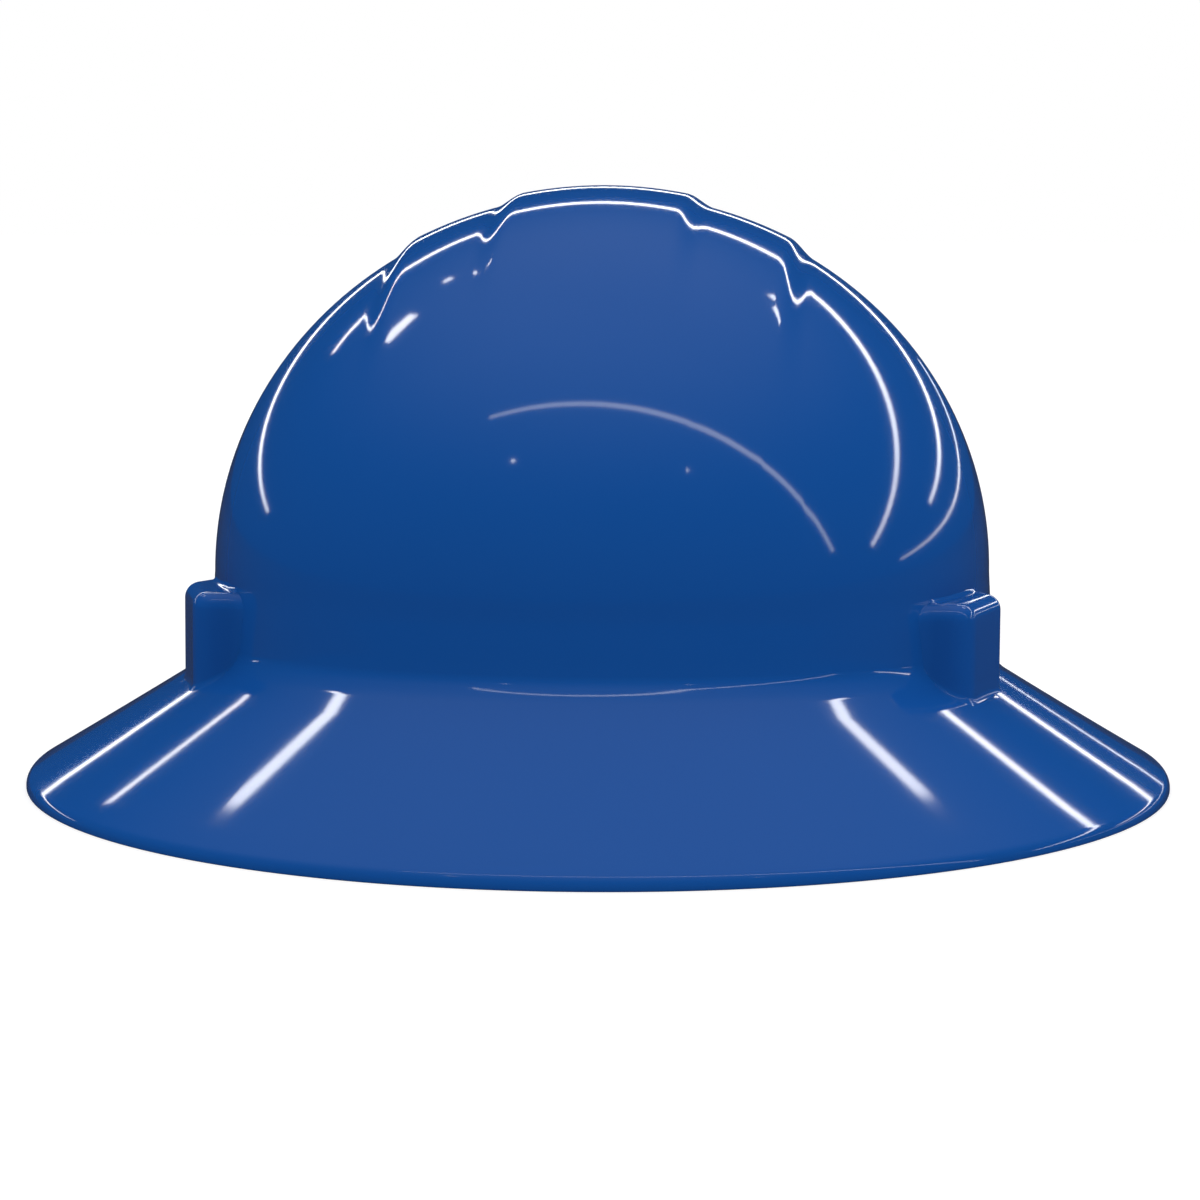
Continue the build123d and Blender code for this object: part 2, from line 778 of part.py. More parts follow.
def make_pinion_screw():
    head = rear_extrude(Circle(screw_head_radius), gear_start() - snug - screw_head_thickness,
                        screw_head_thickness)
    shank = rear_extrude(Circle(screw_radius), gear_start() - snug, screw_length)
    return head + shank


def arm_curve(side, offset):
    """Control points of the strap arm's bend in plan, from the headband to the ratchet housing."""
    start = (arm_start_x + offset, arm_straight_end_y)
    end = nape_point(layer_radius(side) + offset, cover_half_angle)
    rear_x = end[0] + arm_rear_pull * cos(radians(cover_half_angle))
    rear_y = end[1] - arm_rear_pull * sin(radians(cover_half_angle))
    return [start, (start[0], start[1] + arm_front_pull), (rear_x, rear_y), end]


def make_strap_arm(side):
    half = arm_thickness / 2
    outer = Bezier(*arm_curve(side, half))
    inner = Bezier(*arm_curve(side, -half))
    outer_start = (arm_start_x + half, arm_start_y)
    inner_start = (arm_start_x - half, arm_start_y)
    ends = [Line(outer @ 0, outer_start), Line(outer_start, inner_start), Line(inner_start, inner @ 0)]
    outline = make_face([outer, inner, Line(outer @ 1, inner @ 1)] + ends)
    arm = extrude(outline, 2 * arm_half_height)
    arm = Pos(0, 0, nape_height - arm_half_height) * arm
    if side < 0:
        arm = mirror(arm, Plane.YZ)
    radius = layer_radius(side)
    tuck_angle = cover_half_angle - degrees(arm_tuck / radius)
    spans = sorted((side * tuck_angle, side * cover_half_angle))
    arm += sector(radius - half, radius + half, nape_height - arm_half_height,
                  nape_height + arm_half_height, *spans)
    for y in arm_rivet_ys:
        arm -= rivet_line(side, y, rivet_radius + snug)
    return arm


def rivet_line(side, y, radius):
    reach = 2 * overrun + arm_thickness + band_thickness
    return Pos(side * (band_half_width + band_thickness / 2), y, nape_height) * Rot(0, 90, 0) * Cylinder(
        radius, 2 * reach)


def make_arm_rivets():
    rivets = []
    for side in (1, -1):
        for y in arm_rivet_ys:
            low = arm_start_x - arm_thickness / 2 - rivet_head_thickness - snug
            high = band_half_width + band_thickness + rivet_head_thickness + snug
            shank = Pos((low + high) / 2, y, nape_height) * Rot(0, 90, 0) * Cylinder(rivet_radius, high - low)
            head = Rot(0, 90, 0) * Cylinder(rivet_head_radius, rivet_head_thickness)
            rivet = shank + Pos(low + rivet_head_thickness / 2, y, nape_height) * head
            rivet += Pos(high - rivet_head_thickness / 2, y, nape_height) * head
            rivets.append(rivet if side > 0 else mirror(rivet, Plane.YZ))
    return Compound(rivets)


def make_nape_pad():
    radius = channel_inner() - cover_wall - gap
    faces = []
    for spread, share in cushion_shares():
        turn = radians(spread * nape_pad_half_angle)
        place = (radius * sin(turn), nape_center_y + radius * cos(turn), nape_height)
        facing = atan2(-cos(turn), -sin(turn))
        faces.append(cushion_section(place, facing, share, 2 * nape_pad_half_height, nape_pad_thickness))
    return loft(faces)


save(make_shell(), "shell")
for key_side, side_name in ((1, "right"), (-1, "left")):
    save(make_key(key_side, front_key_y), "suspension_key_front_" + side_name)
    save(make_key(key_side, rear_key_y), "suspension_key_rear_" + side_name)
    save(make_rack(key_side), "ratchet_strap_" + side_name)
    save(make_strap_arm(key_side), "strap_arm_" + side_name)
save(make_crown_strap(1, 0.0), "crown_strap_lower")
save(make_crown_strap(-1, strap_crossing_rise), "crown_strap_upper")
headband = make_headband()
for rivet_side in (1, -1):
    for rivet_y in arm_rivet_ys:
        headband -= rivet_line(rivet_side, rivet_y, rivet_radius + snug)
save(headband, "headband")
save(make_arm_rivets(), "arm_rivets")
save(make_brow_pad(), "brow_pad")
save(make_inner_cover(), "ratchet_inner_cover")
save(make_outer_cover(), "ratchet_outer_cover")
save(make_nape_pad(), "nape_pad")
save(make_knob(), "adjustment_knob")
save(make_grip(), "knob_grip")
save(make_pinion(), "ratchet_pinion")
save(make_pawl(), "click_pawl")
save(make_pinion_screw(), "pinion_screw")
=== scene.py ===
import bpy
import bmesh
from math import acos, asin, atan2, cos, hypot, pi, radians, sin, sqrt, tan
from mathutils import Matrix, Vector


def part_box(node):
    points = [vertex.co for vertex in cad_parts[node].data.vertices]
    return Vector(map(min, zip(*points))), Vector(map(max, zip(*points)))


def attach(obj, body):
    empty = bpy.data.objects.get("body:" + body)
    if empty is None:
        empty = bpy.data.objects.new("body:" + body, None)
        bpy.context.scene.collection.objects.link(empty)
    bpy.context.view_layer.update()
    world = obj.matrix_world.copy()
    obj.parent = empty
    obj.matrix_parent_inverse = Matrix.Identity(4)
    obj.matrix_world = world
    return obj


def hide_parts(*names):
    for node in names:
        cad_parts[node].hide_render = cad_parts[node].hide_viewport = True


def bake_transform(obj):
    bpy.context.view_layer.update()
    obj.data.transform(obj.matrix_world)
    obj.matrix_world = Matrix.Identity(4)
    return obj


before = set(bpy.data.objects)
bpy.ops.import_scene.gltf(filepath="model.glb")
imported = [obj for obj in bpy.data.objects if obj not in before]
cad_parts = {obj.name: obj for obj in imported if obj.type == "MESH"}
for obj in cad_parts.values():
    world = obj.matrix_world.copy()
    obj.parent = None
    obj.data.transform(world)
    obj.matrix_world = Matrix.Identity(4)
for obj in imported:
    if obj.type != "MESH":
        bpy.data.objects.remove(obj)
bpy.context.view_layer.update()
mm = 0.001
mergeGaps = {"tight": 0.000002, "loose": 0.00002, "sliver": 0.000005}


# small helpers

def newPiece(name, bm, material, body=None):
    mesh = bpy.data.meshes.new(name)
    bm.to_mesh(mesh)
    bm.free()
    for face in mesh.polygons:
        face.use_smooth = True
    mesh.materials.append(material)
    piece = bpy.data.objects.new(name, mesh)
    bpy.context.scene.collection.objects.link(piece)
    if body:
        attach(piece, body)
    return piece


def smoothStep(t):
    t = min(max(t, 0.0), 1.0)
    return t * t * (3 - 2 * t)


def gridIndex(value, segments):
    return round((value + 1) / 2 * segments)


def mappedGrid(columns, rows, place):
    # a flat grid whose every point is moved by place(column, row)
    bm = bmesh.new()
    bmesh.ops.create_grid(bm, x_segments=columns, y_segments=rows, size=1.0)
    for vert in bm.verts:
        vert.co = place(gridIndex(vert.co.x, columns), gridIndex(vert.co.y, rows))
    return bm


def closeUp(bm):
    bmesh.ops.remove_doubles(bm, verts=bm.verts, dist=mergeGaps["loose"])
    bmesh.ops.dissolve_degenerate(bm, dist=mergeGaps["sliver"], edges=bm.edges)
    bmesh.ops.recalc_face_normals(bm, faces=bm.faces)


# shader groups

def startGroup(name, inputs, outputs):
    group = bpy.data.node_groups.new(name, "ShaderNodeTree")
    for label, kind, value in inputs:
        socket = group.interface.new_socket(name=label, in_out="INPUT", socket_type=kind)
        if value is not None:
            socket.default_value = value
    for label, kind in outputs:
        group.interface.new_socket(name=label, in_out="OUTPUT", socket_type=kind)
    inNode = group.nodes.new("NodeGroupInput")
    outNode = group.nodes.new("NodeGroupOutput")
    return group, inNode, outNode


def addNode(tree, kind, **settings):
    node = tree.nodes.new(kind)
    for key, value in settings.items():
        setattr(node, key, value)
    return node


def mathNode(tree, operation, first, second):
    node = addNode(tree, "ShaderNodeMath", operation=operation)
    for socket, value in zip(node.inputs, (first, second)):
        if hasattr(value, "is_output"):
            tree.links.new(value, socket)
        else:
            socket.default_value = value
    return node.outputs[0]


def mouldedGroup():
    # moulded plastic: slight colour drift, rubbed patches and a fine grain
    floatKind, colorKind = "NodeSocketFloat", "NodeSocketColor"
    group, inNode, outNode = startGroup(
        "mouldedSurface",
        [("Color", colorKind, (0.5, 0.5, 0.5, 1)), ("Drift", floatKind, 0.06), ("Roughness", floatKind, 0.4),
         ("Rub", floatKind, 0.06), ("Grain Scale", floatKind, 900.0), ("Drift Scale", floatKind, 14.0)],
        [("Color", colorKind), ("Roughness", floatKind), ("Height", floatKind)])
    coords = addNode(group, "ShaderNodeTexCoord")
    wide = addNode(group, "ShaderNodeTexNoise", noise_dimensions="3D")
    wide.inputs["Detail"].default_value = 3.0
    fine = addNode(group, "ShaderNodeTexNoise", noise_dimensions="3D")
    fine.inputs["Detail"].default_value = 2.0
    rub = addNode(group, "ShaderNodeTexNoise", noise_dimensions="3D")
    rub.inputs["Scale"].default_value = 55.0
    rub.inputs["Detail"].default_value = 5.0
    for noise in (wide, fine, rub):
        group.links.new(coords.outputs["Object"], noise.inputs["Vector"])
    group.links.new(inNode.outputs["Drift Scale"], wide.inputs["Scale"])
    group.links.new(inNode.outputs["Grain Scale"], fine.inputs["Scale"])
    centred = mathNode(group, "SUBTRACT", wide.outputs["Fac"], 0.5)
    shift = mathNode(group, "MULTIPLY", centred, inNode.outputs["Drift"])
    value = mathNode(group, "ADD", shift, 1.0)
    tone = addNode(group, "ShaderNodeHueSaturation")
    group.links.new(inNode.outputs["Color"], tone.inputs["Color"])
    group.links.new(value, tone.inputs["Value"])
    group.links.new(tone.outputs["Color"], outNode.inputs["Color"])
    rubCentred = mathNode(group, "SUBTRACT", rub.outputs["Fac"], 0.5)
    rubbed = mathNode(group, "MULTIPLY", rubCentred, inNode.outputs["Rub"])
    group.links.new(mathNode(group, "ADD", inNode.outputs["Roughness"], rubbed), outNode.inputs["Roughness"])
    group.links.new(fine.outputs["Fac"], outNode.inputs["Height"])
    return group


weave = {"threadHeight": 0.35, "ribHeight": 0.5, "lightest": 0.25,
         "bumpStrength": 0.9, "roughness": 0.85, "sheen": 0.25}


def weaveGroup():
    # woven webbing on a UV in millimetres: over and under threads with a ribbed height; the low parts are
    # mixed toward the dark valley colour, a painted shade between the threads
    floatKind, colorKind = "NodeSocketFloat", "NodeSocketColor"
    group, inNode, outNode = startGroup(
        "wovenThreads",
        [("Color", colorKind, (0.1, 0.1, 0.1, 1)), ("Valley Shade", colorKind, (0.02, 0.02, 0.02, 1)),
         ("Across", floatKind, 1.0), ("Along", floatKind, 1.0)],
        [("Color", colorKind), ("Height", floatKind)])
    uv = addNode(group, "ShaderNodeUVMap", uv_map="UVMap")
    split = addNode(group, "ShaderNodeSeparateXYZ")
    group.links.new(uv.outputs["UV"], split.inputs[0])
    across = mathNode(group, "MULTIPLY", split.outputs["X"], inNode.outputs["Across"])
    along = mathNode(group, "MULTIPLY", split.outputs["Y"], inNode.outputs["Along"])
    waveAcross = mathNode(group, "SINE", mathNode(group, "MULTIPLY", across, 2 * pi), 0.0)
    waveAlong = mathNode(group, "SINE", mathNode(group, "MULTIPLY", along, 2 * pi), 0.0)
    crossed = mathNode(group, "MULTIPLY", waveAcross, waveAlong)
    ridge = mathNode(group, "ABSOLUTE", waveAlong, 0.0)
    threads = mathNode(group, "MULTIPLY", crossed, weave["threadHeight"])
    ribs = mathNode(group, "MULTIPLY", ridge, weave["ribHeight"])
    height = mathNode(group, "ADD", threads, ribs)
    # painted shade: the thread colour is mixed toward the dark valley colour where the weave's height is low
    mix = addNode(group, "ShaderNodeMix", data_type="RGBA")
    group.links.new(mathNode(group, "ADD", height, weave["lightest"]), mix.inputs["Factor"])
    group.links.new(inNode.outputs["Valley Shade"], mix.inputs["A"])
    group.links.new(inNode.outputs["Color"], mix.inputs["B"])
    group.links.new(mix.outputs["Result"], outNode.inputs["Color"])
    group.links.new(height, outNode.inputs["Height"])
    return group


moulded = mouldedGroup()
woven = weaveGroup()


def baseMaterial(name):
    material = bpy.data.materials.new(name)
    material.use_nodes = True
    tree = material.node_tree
    shader = tree.nodes["Principled BSDF"]
    return material, tree, shader


def plasticMaterial(name):
    finish = plastics[name]
    material, tree, shader = baseMaterial(name)
    surface = addNode(tree, "ShaderNodeGroup", node_tree=moulded)
    surface.inputs["Color"].default_value = (*finish["color"], 1)
    surface.inputs["Drift"].default_value = finish["drift"]
    surface.inputs["Roughness"].default_value = finish["roughness"]
    surface.inputs["Rub"].default_value = finish["rub"]
    surface.inputs["Grain Scale"].default_value = finish["grainScale"]
    bump = addNode(tree, "ShaderNodeBump")
    bump.inputs["Strength"].default_value = finish["grainStrength"]
    bump.inputs["Distance"].default_value = finish["grainHeight"]
    tree.links.new(surface.outputs["Color"], shader.inputs["Base Color"])
    tree.links.new(surface.outputs["Roughness"], shader.inputs["Roughness"])
    tree.links.new(surface.outputs["Height"], bump.inputs["Height"])
    tree.links.new(bump.outputs["Normal"], shader.inputs["Normal"])
    shader.inputs["IOR"].default_value = 1.5
    return material


def webbingMaterial(name):
    # across and along are threads per millimetre
    cloth = cloths[name]
    material, tree, shader = baseMaterial(name)
    threads = addNode(tree, "ShaderNodeGroup", node_tree=woven)
    threads.inputs["Color"].default_value = (*cloth["color"], 1)
    threads.inputs["Valley Shade"].default_value = (*cloth["valleyShade"], 1)
    threads.inputs["Across"].default_value = cloth["across"]
    threads.inputs["Along"].default_value = cloth["along"]
    bump = addNode(tree, "ShaderNodeBump")
    bump.inputs["Strength"].default_value = weave["bumpStrength"]
    bump.inputs["Distance"].default_value = cloth["threadHeight"]
    tree.links.new(threads.outputs["Color"], shader.inputs["Base Color"])
    tree.links.new(threads.outputs["Height"], bump.inputs["Height"])
    tree.links.new(bump.outputs["Normal"], shader.inputs["Normal"])
    shader.inputs["Roughness"].default_value = weave["roughness"]
    shader.inputs["Sheen Weight"].default_value = weave["sheen"]
    return material


plastics = {
    "glossBluePlastic": {"color": (0.007, 0.088, 0.375), "roughness": 0.07, "drift": 0.03, "rub": 0.03,
                         "grainScale": 300.0, "grainHeight": 0.00002, "grainStrength": 0.02},
    "satinKeyPlastic": {"color": (0.03, 0.031, 0.034), "roughness": 0.38, "drift": 0.12, "rub": 0.1,
                        "grainScale": 1400.0, "grainHeight": 0.0001, "grainStrength": 0.25},
    "blackBandPlastic": {"color": (0.022, 0.023, 0.025), "roughness": 0.46, "drift": 0.12, "rub": 0.12,
                         "grainScale": 1600.0, "grainHeight": 0.0001, "grainStrength": 0.35},
    "blackCoverPlastic": {"color": (0.026, 0.027, 0.03), "roughness": 0.42, "drift": 0.12, "rub": 0.12,
                          "grainScale": 1500.0, "grainHeight": 0.0001, "grainStrength": 0.35},
    "knobRubber": {"color": (0.018, 0.018, 0.019), "roughness": 0.72, "drift": 0.2, "rub": 0.12,
                   "grainScale": 1100.0, "grainHeight": 0.00015, "grainStrength": 0.5},
    "naturalNylon": {"color": (0.6, 0.59, 0.55), "roughness": 0.4, "drift": 0.05, "rub": 0.08,
                     "grainScale": 1200.0, "grainHeight": 0.0001, "grainStrength": 0.2},
}
# the valley colour of each cloth is the painted shade of its weave's low parts
cloths = {
    "crownWebbing": {"color": (0.045, 0.047, 0.055), "valleyShade": (0.008, 0.008, 0.01),
                     "across": 0.55, "along": 0.8, "threadHeight": 0.00025},
    "padCloth": {"color": (0.07, 0.073, 0.082), "valleyShade": (0.02, 0.02, 0.024),
                 "across": 1.3, "along": 1.3, "threadHeight": 0.00015},
}
steelFinish = {"color": (0.6, 0.6, 0.61), "noiseScale": 700.0, "smoothest": 0.24, "roughest": 0.42}

shellBlue = plasticMaterial("glossBluePlastic")
keyPlastic = plasticMaterial("satinKeyPlastic")
bandPlastic = plasticMaterial("blackBandPlastic")
coverPlastic = plasticMaterial("blackCoverPlastic")
gripRubber = plasticMaterial("knobRubber")
gearNylon = plasticMaterial("naturalNylon")
strapWebbing = webbingMaterial("crownWebbing")
padCloth = webbingMaterial("padCloth")


def steelMaterial(name):
    material, tree, shader = baseMaterial(name)
    coords = addNode(tree, "ShaderNodeTexCoord")
    noise = addNode(tree, "ShaderNodeTexNoise")
    noise.inputs["Scale"].default_value = steelFinish["noiseScale"]
    tree.links.new(coords.outputs["Object"], noise.inputs["Vector"])
    ramp = addNode(tree, "ShaderNodeMapRange")
    ramp.inputs["To Min"].default_value = steelFinish["smoothest"]
    ramp.inputs["To Max"].default_value = steelFinish["roughest"]
    tree.links.new(noise.outputs["Fac"], ramp.inputs["Value"])
    tree.links.new(ramp.outputs["Result"], shader.inputs["Roughness"])
    shader.inputs["Base Color"].default_value = (*steelFinish["color"], 1)
    shader.inputs["Metallic"].default_value = 1.0
    return material


screwSteel = steelMaterial("zincSteel")
print("materials made")


# shell

shellSizes = {
    "halfWidth": 153.0, "halfLength": 170.6, "rollRadius": 3.0, "lip": 0.8, "wall": 2.6,
    "crownWidth": 104.4, "crownLength": 129.9, "crownShift": 8.5, "domeBase": 55.8, "domeRise": 98.4,
    "flare": 1.4, "junction": 30.9, "junctionRise": 8.3, "junctionRadius": 9.0,
    "stepHalfWidths": (24.6, 52.2), "stepHeights": (2.2, 2.1), "stepRuns": (88.0, 96.0), "flankWidth": 7.4,
    "flankReach": 0.62, "fadeShape": (1.6, 0.4), "liftHeight": 30.0, "rimEdge": 0.35, "rimEdgeShare": 0.3,
    "evenColumns": 108, "flankColumns": 9, "columnGap": 0.004, "domeRows": 132, "innerRows": 30,
    "outerSteps": 8, "innerSteps": 6, "wallSteps": 4,
}


def brimSlope():
    s = shellSizes
    rise = s["junction"] - s["lip"]
    run = s["halfWidth"] - s["rollRadius"] - s["crownWidth"] - s["flare"]
    reach = hypot(rise, run)
    return atan2(rise, run) - atan2(s["rollRadius"], sqrt(reach**2 - s["rollRadius"]**2))


def sideProfile(inset, steps):
    # half width and height of each ring, from the rim up to the dome's base
    s = shellSizes
    slope = brimSlope()
    rollX = s["halfWidth"] - s["rollRadius"]
    roll = s["rollRadius"] - inset
    rings = []
    for step in range(steps):
        turn = (pi / 2 - slope) * step / (steps - 1)
        rings.append((rollX + roll * cos(turn), s["lip"] + roll * sin(turn)))
    foot = s["crownWidth"] + s["flare"]
    lean = atan2(s["flare"], s["domeBase"] - s["junction"])
    halfTurn = (pi / 2 - slope - lean) / 2
    tangent = s["junctionRadius"] * tan(halfTurn)
    startX = foot + tangent * cos(slope)
    startZ = s["junction"] - tangent * sin(slope)
    last = rings[-1]
    for step in range(1, steps):
        t = step / steps
        ringX = last[0] + (startX + inset * -sin(slope) - last[0]) * t
        ringZ = last[1] + (startZ - inset * cos(slope) - last[1]) * t
        rings.append((ringX, ringZ))
    centerX = startX + s["junctionRadius"] * sin(slope)
    centerZ = startZ + s["junctionRadius"] * cos(slope)
    radius = s["junctionRadius"] + inset
    for step in range(steps + 1):
        turn = slope + 2 * halfTurn * step / steps
        rings.append((centerX - radius * sin(turn), centerZ - radius * cos(turn)))
    top = rings[-1]
    for step in range(1, s["wallSteps"]):
        t = step / s["wallSteps"]
        ringX = top[0] + (s["crownWidth"] - inset - top[0]) * t
        ringZ = top[1] + (s["domeBase"] - top[1]) * t
        rings.append((ringX, ringZ))
    return rings


def ringPoint(halfWidth, height, inset, angle):
    # point of a tilted elliptical ring; the angle runs from the front toward +X
    s = shellSizes
    foot = s["crownWidth"] + s["flare"]
    share = min(max((s["halfWidth"] - inset - halfWidth) / (s["halfWidth"] - foot), 0.0), 1.0)
    stretch = s["halfLength"] - s["halfWidth"]
    crownStretch = s["crownLength"] - s["crownWidth"]
    halfLength = halfWidth + stretch + (crownStretch - stretch) * share
    fade = min(max((s["domeBase"] - height) / (s["domeBase"] - s["junction"]), 0.0), 1.0)
    pitch = atan2(s["junctionRise"] * share * fade, s["crownLength"])
    forward = cos(angle)
    y = s["crownShift"] * share - halfLength * forward
    z = height + halfLength * forward * tan(pitch)
    return Vector((halfWidth * sin(angle), y, z)) * mm


def ridgeHeight(x, y):
    s = shellSizes
    total = 0.0
    for half, height, run in zip(s["stepHalfWidths"], s["stepHeights"], s["stepRuns"]):
        across = smoothStep((half + s["flankWidth"] / 2 - abs(x)) / s["flankWidth"])
        fade = max(0.0, 1 - ((y - s["crownShift"]) / run)**2)
        total += height * across * fade * (s["fadeShape"][0] * fade + s["fadeShape"][1] - fade**2)
    return total


def domeColumns():
    # angles of the dome's columns, closer together at the flanks of the ridges
    s = shellSizes
    columns = [-pi / 2 + pi * step / s["evenColumns"] for step in range(s["evenColumns"] + 1)]
    for half in s["stepHalfWidths"]:
        low = asin((half - s["flankWidth"] * s["flankReach"]) / s["crownWidth"])
        high = asin((half + s["flankWidth"] * s["flankReach"]) / s["crownWidth"])
        columns = [c for c in columns if not low - s["columnGap"] < abs(c) < high + s["columnGap"]]
        for step in range(s["flankColumns"]):
            turn = low + (high - low) * step / (s["flankColumns"] - 1)
            columns += [turn, -turn]
    return sorted(columns)


def domePoint(turn, rise, inset):
    s = shellSizes
    x = (s["crownWidth"] - inset) * sin(turn)
    y = s["crownShift"] - (s["crownLength"] - inset) * cos(turn) * cos(rise)
    z = s["domeBase"] + (s["domeRise"] - inset) * cos(turn) * sin(rise)
    return Vector((x, y, z))


def outerDomePoint(turn, rise):
    s = shellSizes
    point = domePoint(turn, rise, 0.0)
    normal = Vector((point.x / s["crownWidth"]**2, (point.y - s["crownShift"]) / s["crownLength"]**2,
                     (point.z - s["domeBase"]) / s["domeRise"]**2)).normalized()
    lift = smoothStep((point.z - s["domeBase"]) / s["liftHeight"])
    return (point + normal * ridgeHeight(point.x, point.y) * lift) * mm


def addRing(bm, loop, angles, place):
    # pushes the open edge loop out to a new ring
    out = bmesh.ops.extrude_edge_only(bm, edges=loop)
    verts = [item for item in out["geom"] if isinstance(item, bmesh.types.BMVert)]
    edges = [item for item in out["geom"] if isinstance(item, bmesh.types.BMEdge)]
    ring = [edge for edge in edges if edge.is_boundary]
    fresh = {}
    for vert in verts:
        for edge in vert.link_edges:
            other = edge.other_vert(vert)
            if other in angles:
                fresh[vert] = angles[other]
    for vert, angle in fresh.items():
        vert.co = place(angle)
    return ring, fresh


def makeShell():
    s = shellSizes
    columns = domeColumns()
    rows = s["domeRows"]
    bm = mappedGrid(len(columns) - 1, rows, lambda c, r: outerDomePoint(columns[c], pi * r / rows))
    bmesh.ops.remove_doubles(bm, verts=bm.verts, dist=mergeGaps["tight"])
    loop = [edge for edge in bm.edges if edge.is_boundary]
    angles = {}
    for edge in loop:
        for vert in edge.verts:
            offset = vert.co.y / mm - s["crownShift"]
            angles[vert] = atan2(vert.co.x / mm / s["crownWidth"], -offset / s["crownLength"])
    wall = s["wall"]
    for halfWidth, height in reversed(sideProfile(0.0, s["outerSteps"])):
        loop, angles = addRing(bm, loop, angles, lambda a: ringPoint(halfWidth, height, 0.0, a))
    edge, part = s["rimEdge"], s["rimEdge"] * s["rimEdgeShare"]
    for offset, height in ((0.0, edge), (part, part), (edge, 0.0), (wall - edge, 0.0), (wall - part, part)):
        halfWidth = s["halfWidth"] - offset
        loop, angles = addRing(bm, loop, angles, lambda a: ringPoint(halfWidth, height, offset, a))
    for halfWidth, height in sideProfile(wall, s["innerSteps"]):
        loop, angles = addRing(bm, loop, angles, lambda a: ringPoint(halfWidth, height, wall, a))
    for step in range(s["innerRows"]):
        rise = pi / 2 * step / s["innerRows"]
        shrink = cos(rise)
        height = s["domeBase"] + (s["domeRise"] - wall) * sin(rise)

        def innerPoint(angle):
            x = (s["crownWidth"] - wall) * shrink * sin(angle)
            y = s["crownShift"] - (s["crownLength"] - wall) * shrink * cos(angle)
            return Vector((x, y, height)) * mm

        loop, angles = addRing(bm, loop, angles, innerPoint)
    top = Vector((0, s["crownShift"], s["domeBase"] + s["domeRise"] - wall)) * mm
    loop, angles = addRing(bm, loop, angles, lambda a: top)
    closeUp(bm)
    return bm


shell = newPiece("hatShell", makeShell(), shellBlue, "hat")
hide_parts("shell")
print("shell made", len(shell.data.polygons))


# accessory slot blocks

pathSizes = {"cornerShare": 0.48, "cornerSteps": 12, "shortest": 1e-9}
blockSizes = {
    "path": ((80.6, -73.4), (86.2, -65.4), (98.4, -65.5), (106.9, -36.2), (103.6, -28.6), (101.0, -25.5)),
    "radii": (0.0, 7.0, 7.5, 6.0, 5.0, 0.0),
    "top": 54.2, "edge": 4.0, "weld": 2.0, "sunk": 1.0, "under": 0.9, "base": 1.8,
    "innerUnder": 0.4, "weldSunk": 0.25, "weldShare": 0.85,
    "crownStart": -70.0, "crownEnd": -26.0, "shortest": 0.01,
    "steps": 96, "baseSteps": 6, "wallSteps": 6, "edgeSteps": 8, "topSteps": 5, "weldSteps": 8,
    "pocketHalf": 11.5, "pocketWidth": 5.5, "pocketWall": 2.3, "pocketTop": 50.4, "pocketLow": 12.0,
    "face": ((98.1, -65.3), (106.8, -36.0)),
}


def roundedPath(points, radii, steps):
    # points of a path whose corners are rounded, evenly spaced
    dense = [Vector(points[0])]
    for index in range(1, len(points) - 1):
        before, corner, after = (Vector(points[index + k]) for k in (-1, 0, 1))
        inward = (before - corner).normalized()
        outward = (after - corner).normalized()
        halfAngle = acos(max(-1.0, min(1.0, inward.dot(outward)))) / 2
        shorter = min((before - corner).length, (after - corner).length)
        reach = min(radii[index] / tan(halfAngle), pathSizes["cornerShare"] * shorter)
        start, end = corner + inward * reach, corner + outward * reach
        for step in range(pathSizes["cornerSteps"] + 1):
            t = step / pathSizes["cornerSteps"]
            dense.append(start * (1 - t)**2 + corner * 2 * t * (1 - t) + end * t**2)
    dense.append(Vector(points[-1]))
    lengths = [0.0]
    for a, b in zip(dense, dense[1:]):
        lengths.append(lengths[-1] + (b - a).length)
    even = []
    at = 0
    for step in range(steps + 1):
        target = lengths[-1] * step / steps
        while at < len(dense) - 2 and lengths[at + 1] < target:
            at += 1
        span = max(lengths[at + 1] - lengths[at], pathSizes["shortest"])
        even.append(dense[at].lerp(dense[at + 1], (target - lengths[at]) / span))
    return even


def wallX(y, z):
    s = shellSizes
    sink = max(0.0, z - s["domeBase"]) / s["domeRise"]
    scale = sqrt(1 - sink**2)
    offset = (y - s["crownShift"]) / (s["crownLength"] * scale)
    return s["crownWidth"] * scale * sqrt(max(0.0, 1 - offset**2))


def brimHeight(x, y):
    # height of the sharp line where wall and brim would meet, falling away along the brim outside it
    s = shellSizes
    foot = s["crownWidth"] + s["flare"]
    offset = y - s["crownShift"]
    reach = hypot(x / foot, offset / (s["crownLength"] + s["flare"]))
    outside = max(0.0, reach - 1) * hypot(x, offset) / reach
    return s["junction"] - offset * s["junctionRise"] / s["crownLength"] - outside * tan(brimSlope())


